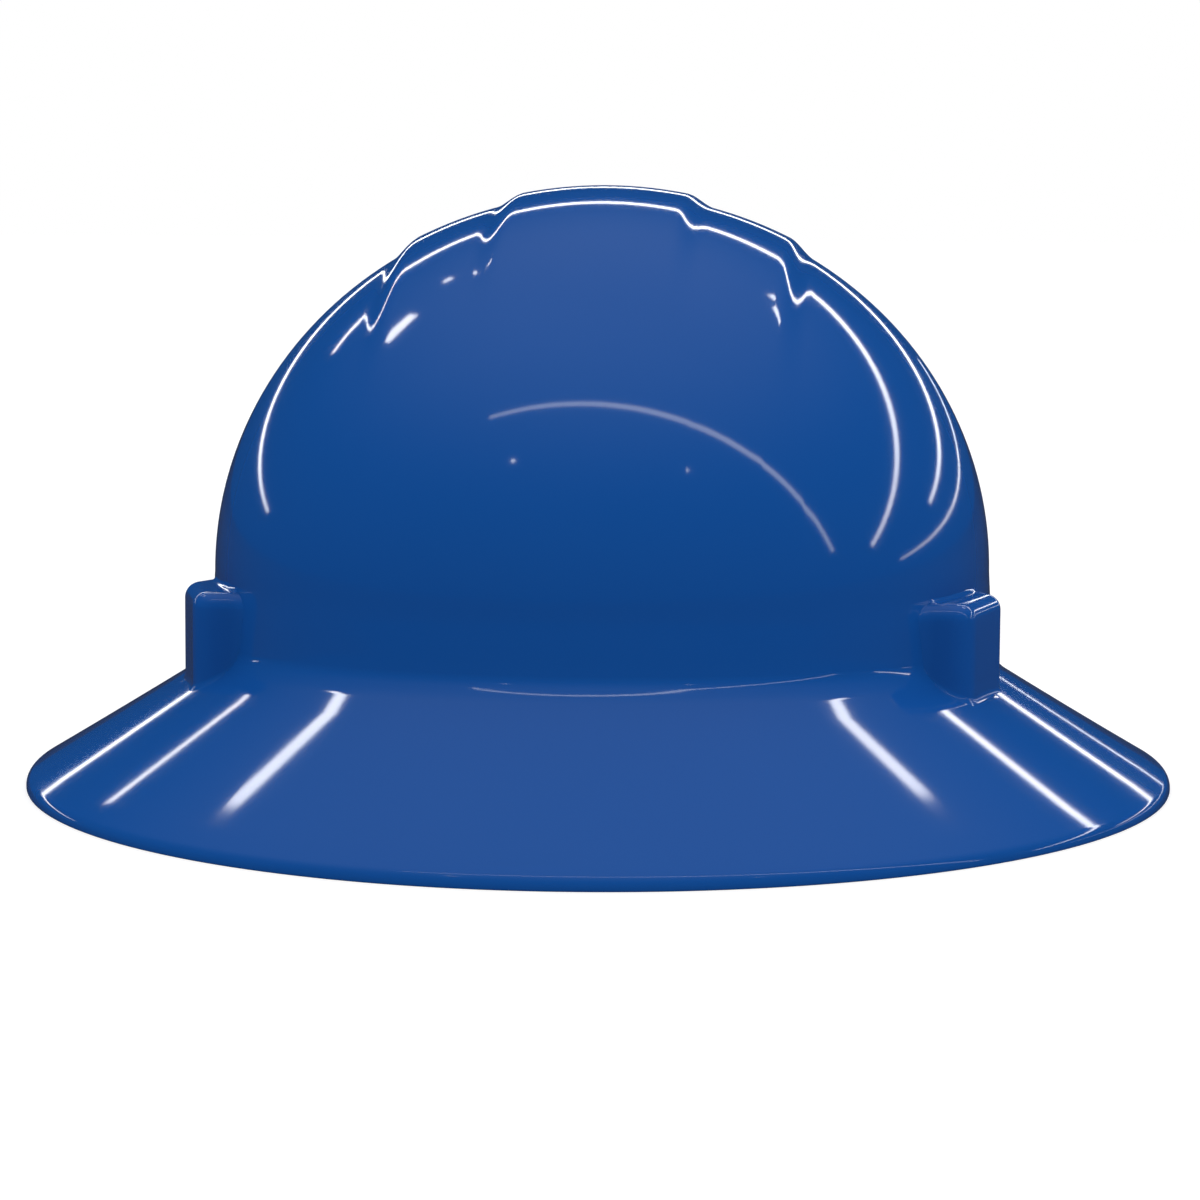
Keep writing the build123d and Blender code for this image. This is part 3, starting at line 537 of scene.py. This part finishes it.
def makeBlock(side):
    b, s = blockSizes, shellSizes
    path = roundedPath(b["path"], b["radii"], b["steps"])
    steps = b["steps"]
    normals = []
    for index in range(steps + 1):
        ahead = path[min(index + 1, steps)] - path[max(index - 1, 0)]
        normals.append(Vector((ahead.y, -ahead.x)).normalized())
    rows = [("inner", 0)]
    rows += [("base", pi / 2 * step / b["baseSteps"]) for step in range(b["baseSteps"])]
    rows += [("wall", step / b["wallSteps"]) for step in range(b["wallSteps"] + 1)]
    rows += [("edge", pi / 2 * step / b["edgeSteps"]) for step in range(1, b["edgeSteps"] + 1)]
    rows += [("top", step / b["topSteps"]) for step in range(1, b["topSteps"])]
    rows += [("weld", pi / 2 * step / b["weldSteps"]) for step in range(b["weldSteps"] + 1)]
    rows += [("inner", 1), ("inner", 0)]

    def place(column, row):
        kind, t = rows[row]
        point, normal = path[column], normals[column]
        y = b["crownStart"] + (b["crownEnd"] - b["crownStart"]) * column / steps
        low = brimHeight(point.x, point.y) - b["under"] + b["base"]
        start = point - normal * b["edge"]
        high = b["top"] + b["weld"]
        target = Vector((wallX(y, high) - b["weldSunk"], y))
        weld = min(b["weld"], b["weldShare"] * (target - start).length)
        back = (start - target).normalized() if (start - target).length > b["shortest"] else normal
        if kind == "inner":
            z = high if t else brimHeight(wallX(y, high), y) - b["innerUnder"]
            drop = max(0.0, s["domeBase"] - z) / (s["domeBase"] - s["junction"])
            spread = s["flare"] * min(1.0, drop)
            spot = Vector((wallX(y, z) + spread - b["sunk"], y))
        elif kind == "base":
            spot = point + normal * b["base"] * (1 - sin(t))
            z = brimHeight(spot.x, spot.y) - b["under"] + b["base"] * (1 - cos(t))
        elif kind == "wall":
            z = low + (b["top"] - b["edge"] - low) * t
            spot = point
        elif kind == "edge":
            z = b["top"] - b["edge"] * (1 - sin(t))
            spot = point - normal * b["edge"] * (1 - cos(t))
        elif kind == "top":
            spot, z = start.lerp(target + back * weld, t), b["top"]
        else:
            spot = target + back * weld * (1 - sin(t))
            z = b["top"] + weld * (1 - cos(t))
        return Vector((side * spot.x, spot.y, z)) * mm

    bm = mappedGrid(steps, len(rows) - 1, place)
    bmesh.ops.remove_doubles(bm, verts=bm.verts, dist=mergeGaps["tight"])
    bmesh.ops.holes_fill(bm, edges=[edge for edge in bm.edges if edge.is_boundary], sides=0)
    bmesh.ops.recalc_face_normals(bm, faces=bm.faces)
    return bm


def carve(piece, cutter):
    # cuts a box out of a piece and leaves a finished mesh
    cut = piece.modifiers.new("slot", "BOOLEAN")
    cut.operation = "DIFFERENCE"
    cut.solver = "EXACT"
    cut.object = cutter
    bpy.context.view_layer.update()
    finished = bpy.data.meshes.new_from_object(piece.evaluated_get(bpy.context.evaluated_depsgraph_get()))
    piece.modifiers.remove(cut)
    piece.data = finished


def pocketBox(side):
    b = blockSizes
    front, rear = Vector(b["face"][0]), Vector(b["face"][1])
    along = (rear - front).normalized()
    outward = Vector((along.y, -along.x))
    middle = (front + rear) / 2 - outward * (b["pocketWall"] + b["pocketWidth"] / 2)
    bm = bmesh.new()
    bmesh.ops.create_cube(bm, size=2.0)
    for vert in bm.verts:
        spot = middle + outward * vert.co.x * b["pocketWidth"] / 2 + along * vert.co.y * b["pocketHalf"]
        z = b["pocketTop"] if vert.co.z > 0 else b["pocketLow"]
        vert.co = Vector((side * spot.x, spot.y, z)) * mm
    bmesh.ops.recalc_face_normals(bm, faces=bm.faces)
    return bm


for side, sideName in ((1, "Right"), (-1, "Left")):
    block = newPiece("accessoryBlock" + sideName, makeBlock(side), shellBlue, "hat")
    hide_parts("shell")
    cutter = newPiece("slotCutter" + sideName, pocketBox(side), shellBlue)
    carve(block, cutter)
    carve(shell, cutter)
    bpy.data.objects.remove(cutter)
print("slot blocks made", len(shell.data.polygons))


# key sockets

keySizes = {"frontY": -78.0, "rearY": 66.0, "standOff": 1.5, "gap": 0.3, "tongue": 2.2, "tongueHalf": 7.5,
            "keyHalf": 12.5, "wall": 1.9, "half": 11.0, "low": 47.0, "high": 66.0, "roof": 2.4, "sunk": 1.0,
            "edge": 0.35, "mouthGap": 0.01, "planeGap": 0.0001}


def innerWall(y):
    s = shellSizes
    offset = (y - s["crownShift"]) / (s["crownLength"] - s["wall"])
    return (s["crownWidth"] - s["wall"]) * sqrt(1 - offset**2)


def keyTurnAt():
    k = keySizes
    return atan2(k["rearY"] - k["frontY"], innerWall(k["rearY"]) + innerWall(k["frontY"]))


def makeSocket(side, y):
    k, s = keySizes, shellSizes
    turn = keyTurnAt()
    lean = atan2(abs(y - s["crownShift"]) / (s["crownLength"] - s["wall"])**2,
                 innerWall(y) / (s["crownWidth"] - s["wall"])**2)
    slotLow = k["standOff"] - k["gap"] + k["keyHalf"] * tan(abs(turn - lean))
    slotHigh = slotLow + k["tongue"] + 2 * k["gap"]
    deep = slotHigh + k["wall"]
    mouthHalf = k["tongueHalf"] + k["gap"]
    bm = bmesh.new()
    bmesh.ops.create_cube(bm, size=1.0)
    for vert in bm.verts:
        vert.co = Vector((-deep if vert.co.x < 0 else k["sunk"], k["half"] * 2 * vert.co.y,
                          k["low"] if vert.co.z < 0 else k["high"]))
    for spot, normal in (((-slotHigh, 0, 0), (1, 0, 0)), ((-slotLow, 0, 0), (1, 0, 0)),
                         ((0, -mouthHalf, 0), (0, 1, 0)), ((0, mouthHalf, 0), (0, 1, 0))):
        bmesh.ops.bisect_plane(bm, geom=bm.verts[:] + bm.edges[:] + bm.faces[:], dist=k["planeGap"],
                               plane_co=spot, plane_no=normal)
    mouth = []
    for face in bm.faces:
        middle = face.calc_center_median()
        inSlot = -slotHigh < middle.x < -slotLow and abs(middle.y) < mouthHalf
        if middle.z < k["low"] + k["mouthGap"] and inSlot:
            mouth.append(face)
    bmesh.ops.recalc_face_normals(bm, faces=bm.faces)
    raised = bmesh.ops.extrude_discrete_faces(bm, faces=mouth)
    for face in raised["faces"]:
        bmesh.ops.translate(bm, verts=face.verts, vec=(0, 0, k["high"] - k["roof"] - k["low"]))
    askew = tan(lean - turn) * (side if y > 0 else -side)
    for vert in bm.verts:
        if vert.co.x > 0:
            vert.co.x -= askew * vert.co.y
    heading = turn if y > 0 else -turn
    if side < 0:
        heading = pi - heading
    place = Matrix.Translation((side * innerWall(y), y, 0)) @ Matrix.Rotation(heading, 4, "Z")
    bmesh.ops.transform(bm, matrix=Matrix.Scale(mm, 4) @ place, verts=bm.verts)
    return bm


for side, sideName in ((1, "Right"), (-1, "Left")):
    for end, y in (("Front", keySizes["frontY"]), ("Rear", keySizes["rearY"])):
        name = "keySocket" + end + sideName
        socket = newPiece(name, makeSocket(side, y), shellBlue, "hat")
        edge = socket.modifiers.new("rounded", "BEVEL")
        edge.width = keySizes["edge"] * mm
        edge.segments = 2
        edge.limit_method = "ANGLE"
        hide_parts("shell")
print("key sockets made")


# crown straps

strapSizes = {"width": 19.0, "thickness": 1.2, "along": 120, "across": 10, "edge": 0.35, "sideGap": 0.1,
              "seatTop": 60.0, "foot": 48.0, "apex": 115.0, "crossing": 3.0, "legShare": 0.06,
              "weaveShare": 1.35}


def makeStrap(node, side, rise):
    s = strapSizes
    low, high = (Vector(corner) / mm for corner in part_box(node))
    cross = s["width"] / 2
    turn = keyTurnAt()
    spanX = (high.x - low.x) - 2 * cross * sin(turn)
    spanY = (high.y - low.y) - 2 * cross * cos(turn)
    middle = (low + high) / 2
    heading = Vector((side * spanX, spanY, 0)).normalized()
    widthway = Vector((-heading.y, heading.x, 0))
    half = hypot(spanX, spanY) / 2 - s["thickness"] / 2
    arch = s["apex"] + rise - s["seatTop"]
    legShare = s["legShare"]

    def place(column, row):
        t = 2 * column / s["along"] - 1
        w = 2 * row / s["across"] - 1
        if abs(t) > 1 - legShare:
            down = (abs(t) - 1 + legShare) / legShare
            x, z = half * (1 if t > 0 else -1), s["seatTop"] - (s["seatTop"] - s["foot"]) * down
        else:
            angle = t / (1 - legShare) * pi / 2
            x, z = half * sin(angle), s["seatTop"] + arch * cos(angle)
        spot = Vector((middle.x, middle.y, 0)) + heading * x + widthway * w * (cross - s["sideGap"])
        return Vector((spot.x, spot.y, z)) * mm

    bm = mappedGrid(s["along"], s["across"], place)
    bm.verts.ensure_lookup_table()
    uv = bm.loops.layers.uv.new("UVMap")
    length = 2 * half * s["weaveShare"]
    for face in bm.faces:
        for loop in face.loops:
            offset = loop.vert.co / mm - Vector((middle.x, middle.y, 0))
            column = loop.vert.index % (s["along"] + 1)
            loop[uv].uv = (offset.dot(widthway), column / s["along"] * length)
    bmesh.ops.recalc_face_normals(bm, faces=bm.faces)
    return bm


def strapPiece(name, node, side, rise):
    s = strapSizes
    piece = newPiece(name, makeStrap(node, side, rise), strapWebbing, "hat")
    solid = piece.modifiers.new("thickness", "SOLIDIFY")
    solid.thickness = s["thickness"] * mm
    solid.offset = 0.0
    edge = piece.modifiers.new("rounded", "BEVEL")
    edge.width = s["edge"] * mm
    edge.segments = 3
    edge.limit_method = "ANGLE"
    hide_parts(node)


strapPiece("crownStrapLower", "crown_strap_lower", 1, 0.0)
strapPiece("crownStrapUpper", "crown_strap_upper", -1, strapSizes["crossing"])
print("crown straps made")


# pads

padSizes = {
    "brow": {"halfWidth": 84.3, "halfLength": 103.1, "centerY": -7.0, "rearY": -38.0,
             "low": 12.0, "high": 36.0, "thickness": 4.5, "length": 260.0,
             "channels": 15, "channelDepth": 0.9, "along": 300, "around": 36},
    "nape": {"radius": 71.4, "centerY": 25.1, "halfAngle": 40.0,
             "low": 16.0, "high": 38.0, "thickness": 3.5, "length": 100.0,
             "channels": 7, "channelDepth": 0.7, "along": 160, "around": 32},
    "form": {"sideFlat": 0.55, "sideDraw": 0.05, "crown": 0.75, "endDraw": 0.22, "endDrawPower": 7,
             "endPower": 24, "channelPower": 0.45, "channelStart": 0.4},
}


def padSection(share, q, half, thickness):
    # point of the pad's outline: q runs round it, from the back's middle over an edge to the crown
    form = padSizes["form"]
    turn = 2 * pi * q
    across = sin(turn)
    face = (1 - cos(turn)) / 2
    flat = abs(across)**form["sideFlat"] * (1 if across > 0 else -1)
    height = half * share * flat * (1 - form["sideDraw"] * (1 - face))
    depth = thickness * face**form["crown"]
    return height, depth


def makePad(p, middle):
    form = padSizes["form"]
    along, around = p["along"], p["around"]
    half = (p["high"] - p["low"]) / 2
    zMid = (p["high"] + p["low"]) / 2

    def place(column, row):
        spread = 2 * column / along - 1
        share = 1 - form["endDraw"] * abs(spread)**form["endDrawPower"]
        ends = sqrt(max(0.0, 1 - abs(spread)**form["endPower"]))
        beat = abs(sin(pi * p["channels"] * (spread + 1) / 2))
        puff = 1 - p["channelDepth"] / p["thickness"] * (1 - beat**form["channelPower"])
        height, depth = padSection(share, row / around, half, p["thickness"] * ends)
        inner = depth * (puff if depth > p["thickness"] * form["channelStart"] else 1)
        base, facing = middle(spread)
        spot = base + facing * inner
        return Vector((spot.x, spot.y, zMid + height)) * mm

    bm = mappedGrid(along, around, place)
    uv = bm.loops.layers.uv.new("UVMap")
    perimeter = 2 * (half * 2 + p["thickness"])
    bm.verts.ensure_lookup_table()
    for face in bm.faces:
        for loop in face.loops:
            index = loop.vert.index
            u = (index % (along + 1)) / along * p["length"]
            v = (index // (along + 1)) / around * perimeter
            loop[uv].uv = (u, v)
    closeUp(bm)
    return bm


def browMiddle(spread):
    p = padSizes["brow"]
    end = acos((p["centerY"] - p["rearY"]) / p["halfLength"])
    turn = spread * end
    spot = Vector((p["halfWidth"] * sin(turn), p["centerY"] - p["halfLength"] * cos(turn)))
    facing = Vector((-sin(turn) / p["halfWidth"], cos(turn) / p["halfLength"])).normalized()
    return spot, facing


def napeMiddle(spread):
    p = padSizes["nape"]
    turn = radians(spread * p["halfAngle"])
    spot = Vector((p["radius"] * sin(turn), p["centerY"] + p["radius"] * cos(turn)))
    return spot, Vector((-sin(turn), -cos(turn)))


browShape = makePad(padSizes["brow"], browMiddle)
browPad = newPiece("browPad", browShape, padCloth, "head_ring")
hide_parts("brow_pad")
napeShape = makePad(padSizes["nape"], napeMiddle)
napePad = newPiece("napePad", napeShape, padCloth, "ratchet_housing")
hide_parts("nape_pad")
print("pads made")


# strap arms

armSizes = {"startX": 82.8, "startY": -13.0, "straightEnd": 2.0, "frontPull": 28.0, "rearPull": 34.0,
            "layer": {1: 77.1, -1: 74.9}, "centerY": 25.1, "mouth": 48.0, "tuck": 4.0, "middleZ": 27.0,
            "halfHeight": 9.5, "edgeGap": 0.05, "thickness": 1.8, "edge": 0.4, "along": 110, "across": 8,
            "bendStartY": 4.0, "bendEnd": (57.5, 76.0), "curveSteps": 60, "tuckSteps": 4}


def armPath(side):
    a = armSizes
    radius = a["layer"][side]
    mouth = radians(a["mouth"])
    end = Vector((radius * sin(mouth), a["centerY"] + radius * cos(mouth)))
    pull = Vector((a["rearPull"] * cos(mouth), -a["rearPull"] * sin(mouth)))
    start = Vector((a["startX"], a["straightEnd"]))
    controls = [start, start + Vector((0, a["frontPull"])), end + pull, end]
    path = [Vector((a["startX"], a["startY"]))]
    for step in range(a["curveSteps"] + 1):
        t = step / a["curveSteps"]
        weights = ((1 - t)**3, 3 * t * (1 - t)**2, 3 * t**2 * (1 - t), t**3)
        path.append(sum((c * w for c, w in zip(controls, weights)), Vector((0, 0))))
    for step in range(1, a["tuckSteps"] + 1):
        turn = mouth - a["tuck"] * step / a["tuckSteps"] / radius
        path.append(Vector((radius * sin(turn), a["centerY"] + radius * cos(turn))))
    return path


def makeArm(side):
    a = armSizes
    corners = [tuple(point) for point in armPath(side)]
    path = roundedPath(corners, [0.0] * len(corners), a["along"])

    def place(column, row):
        w = 2 * row / a["across"] - 1
        spot = path[column]
        return Vector((side * spot.x, spot.y, a["middleZ"] + w * (a["halfHeight"] - a["edgeGap"]))) * mm

    bm = mappedGrid(a["along"], a["across"], place)
    bmesh.ops.recalc_face_normals(bm, faces=bm.faces)
    return bm


for side, sideName in ((1, "right"), (-1, "left")):
    a = armSizes
    arm = newPiece("strapArm" + sideName.capitalize(), makeArm(side), bandPlastic, None)
    solid = arm.modifiers.new("thickness", "SOLIDIFY")
    solid.thickness = a["thickness"] * mm
    solid.offset = 0.0
    edge = arm.modifiers.new("rounded", "BEVEL")
    edge.width = a["edge"] * mm
    edge.segments = 3
    edge.limit_method = "ANGLE"
    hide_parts("strap_arm_" + sideName)
    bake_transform(arm)
print("strap arms made")


# materials of the CAD pieces that stay

cadFinish = {
    "suspension_key_front_left": keyPlastic, "suspension_key_front_right": keyPlastic,
    "suspension_key_rear_left": keyPlastic, "suspension_key_rear_right": keyPlastic,
    "headband": bandPlastic, "arm_rivets": coverPlastic,
    "ratchet_outer_cover": coverPlastic, "ratchet_inner_cover": coverPlastic,
    "adjustment_knob": coverPlastic, "knob_grip": gripRubber,
    "ratchet_pinion": gearNylon, "click_pawl": gearNylon, "pinion_screw": screwSteel,
    "ratchet_strap_left": bandPlastic, "ratchet_strap_right": bandPlastic,
}
for node, material in cadFinish.items():
    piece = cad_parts[node]
    piece.data.materials.clear()
    piece.data.materials.append(material)
print("CAD pieces finished")


# studio

studio = {
    "ambient": 0.84, "glossLow": (0.012, 0.05, 0.16), "glossHigh": (0.38, 0.38, 0.38),
    "glossFrom": 0.1, "glossTo": 0.8, "behindShare": 0.3, "evenShare": 0.7,
    "floorSize": 12.0, "floorShade": 0.4, "floorGlossDrop": -0.37, "floorGlow": 0.7, "target": (0, 0, 0.08),
    "tubes": (
        # name, middle, length, width, radiance
        ("rearHigh", (0.65, 1.55, 1.02), 5.9, 0.055, 8.0),
        ("rearLow", (-0.15, 1.75, 0.46), 5.1, 0.04, 5.5),
        ("rearSide", (1.5, 1.8, 0.235), 2.6, 0.018, 4.0),
        ("overhead", (0.85, -0.55, 1.6), 4.9, 0.055, 4.6),
    ),
    "lamps": (
        # name, middle, length, width, radiance, long side
        ("softLeft", (-0.99, 0.7, 1.24), 0.2, 0.08, 10.5, (-0.79, -0.49, -0.37)),
        ("softRight", (0.8, 0.84, 1.28), 0.18, 0.07, 10.5, (0.93, -0.27, -0.25)),
        ("spotRight", (0.68, 0.98, 1.31), 0.05, 0.05, 10.0, (1, 0, 0)),
        ("spotLeft", (-0.72, 0.96, 1.3), 0.04, 0.04, 8.0, (1, 0, 0)),
        ("frontRight", (0.93, -0.92, 1.27), 0.03, 0.03, 12.0, (1, 0, 0)),
        ("frontLeft", (-0.6, -1.06, 1.38), 0.04, 0.03, 14.0, (1, 0, 0)),
    ),
}


def areaLight(name, place, target, length, width, radiance, along):
    light = bpy.data.lights.new(name, "AREA")
    light.shape = "RECTANGLE"
    light.size = length
    light.size_y = width
    light.energy = radiance * pi * length * width
    lamp = bpy.data.objects.new(name, light)
    bpy.context.scene.collection.objects.link(lamp)
    forward = (Vector(target) - Vector(place)).normalized()
    xAxis = (along - forward * along.dot(forward)).normalized()
    zAxis = -forward
    yAxis = zAxis.cross(xAxis)
    matrix = Matrix((xAxis, yAxis, zAxis)).transposed().to_4x4()
    matrix.translation = Vector(place)
    lamp.matrix_world = matrix
    return lamp


def makeStudio():
    middle = studio["target"]
    for name, place, length, width, radiance in studio["tubes"]:
        areaLight(name, place, middle, length, width, radiance, Vector((1, 0, 0)))
    for name, place, length, width, radiance, along in studio["lamps"]:
        areaLight(name, place, middle, length, width, radiance, Vector(along))

    world = bpy.data.worlds.new("studioWorld")
    bpy.context.scene.world = world
    world.use_nodes = True
    tree = world.node_tree
    tree.nodes.clear()
    output = addNode(tree, "ShaderNodeOutputWorld")
    path = addNode(tree, "ShaderNodeLightPath")
    coords = addNode(tree, "ShaderNodeTexCoord")
    split = addNode(tree, "ShaderNodeSeparateXYZ")
    tree.links.new(coords.outputs["Generated"], split.inputs[0])
    ramp = addNode(tree, "ShaderNodeMapRange", interpolation_type="SMOOTHSTEP")
    ramp.inputs["From Min"].default_value = studio["glossFrom"]
    ramp.inputs["From Max"].default_value = studio["glossTo"]
    behind = mathNode(tree, "MULTIPLY_ADD", split.outputs["Y"], studio["behindShare"])
    behind.node.inputs[2].default_value = studio["evenShare"]
    lifted = mathNode(tree, "MULTIPLY", split.outputs["Z"], split.outputs["Z"])
    tree.links.new(mathNode(tree, "MULTIPLY", lifted, behind), ramp.inputs["Value"])
    plain = addNode(tree, "ShaderNodeBackground")
    plain.inputs["Strength"].default_value = studio["ambient"]
    gloss = addNode(tree, "ShaderNodeBackground")
    blend = addNode(tree, "ShaderNodeMix", data_type="RGBA")
    blend.inputs["A"].default_value = (*studio["glossLow"], 1)
    blend.inputs["B"].default_value = (*studio["glossHigh"], 1)
    tree.links.new(ramp.outputs["Result"], blend.inputs["Factor"])
    tree.links.new(blend.outputs["Result"], gloss.inputs["Color"])
    seen = addNode(tree, "ShaderNodeBackground")
    for back in (plain, seen):
        back.inputs["Color"].default_value = (1, 1, 1, 1)
    mixGloss = addNode(tree, "ShaderNodeMixShader")
    tree.links.new(path.outputs["Is Glossy Ray"], mixGloss.inputs[0])
    tree.links.new(plain.outputs[0], mixGloss.inputs[1])
    tree.links.new(gloss.outputs[0], mixGloss.inputs[2])
    mixSeen = addNode(tree, "ShaderNodeMixShader")
    tree.links.new(path.outputs["Is Camera Ray"], mixSeen.inputs[0])
    tree.links.new(mixGloss.outputs[0], mixSeen.inputs[1])
    tree.links.new(seen.outputs[0], mixSeen.inputs[2])
    tree.links.new(mixSeen.outputs[0], output.inputs[0])

    bm = bmesh.new()
    bmesh.ops.create_grid(bm, x_segments=1, y_segments=1, size=studio["floorSize"])
    floorMaterial = bpy.data.materials.new("studioFloor")
    floorMaterial.use_nodes = True
    tree = floorMaterial.node_tree
    tree.nodes.clear()
    output = addNode(tree, "ShaderNodeOutputMaterial")
    path = addNode(tree, "ShaderNodeLightPath")
    diffuse = addNode(tree, "ShaderNodeBsdfDiffuse")
    shade = mathNode(tree, "MULTIPLY_ADD", path.outputs["Is Glossy Ray"], studio["floorGlossDrop"])
    shade.node.inputs[2].default_value = studio["floorShade"]
    tree.links.new(shade, diffuse.inputs["Color"])
    glow = addNode(tree, "ShaderNodeEmission")
    lit = mathNode(tree, "MULTIPLY", path.outputs["Is Camera Ray"], studio["floorGlow"])
    tree.links.new(lit, glow.inputs["Strength"])
    both = addNode(tree, "ShaderNodeAddShader")
    tree.links.new(diffuse.outputs[0], both.inputs[0])
    tree.links.new(glow.outputs[0], both.inputs[1])
    tree.links.new(both.outputs[0], output.inputs[0])
    floor = newPiece("studioFloor", bm, floorMaterial)


makeStudio()

cameraSet = {"yaw": 4.94, "pitch": 6.1, "distance": 0.967, "aimZ": 0.0527, "focal": 3576.0, "frame": 1200.0,
             "aimPixel": (601.3, 578.6), "roll": 0.36, "sensor": 36.0, "clipStart": 0.01}


def makeCamera():
    c = cameraSet
    yaw, pitch = radians(c["yaw"]), radians(c["pitch"])
    aim = Vector((0, 0, c["aimZ"]))
    place = aim + c["distance"] * Vector((sin(yaw) * cos(pitch), -cos(yaw) * cos(pitch), sin(pitch)))
    data = bpy.data.cameras.new("photoCamera")
    data.sensor_width = c["sensor"]
    data.lens = c["focal"] / c["frame"] * c["sensor"]
    data.shift_x = -(c["aimPixel"][0] - c["frame"] / 2) / c["frame"]
    data.shift_y = (c["aimPixel"][1] - c["frame"] / 2) / c["frame"]
    data.clip_start = c["clipStart"]
    camera = bpy.data.objects.new("photoCamera", data)
    bpy.context.scene.collection.objects.link(camera)
    turn = (aim - place).to_track_quat("-Z", "Y").to_matrix().to_4x4()
    camera.matrix_world = Matrix.Translation(place) @ turn @ Matrix.Rotation(radians(c["roll"]), 4, "Z")
    bpy.context.scene.camera = camera


makeCamera()
bpy.context.scene.view_settings.view_transform = "Standard"
print("studio made")
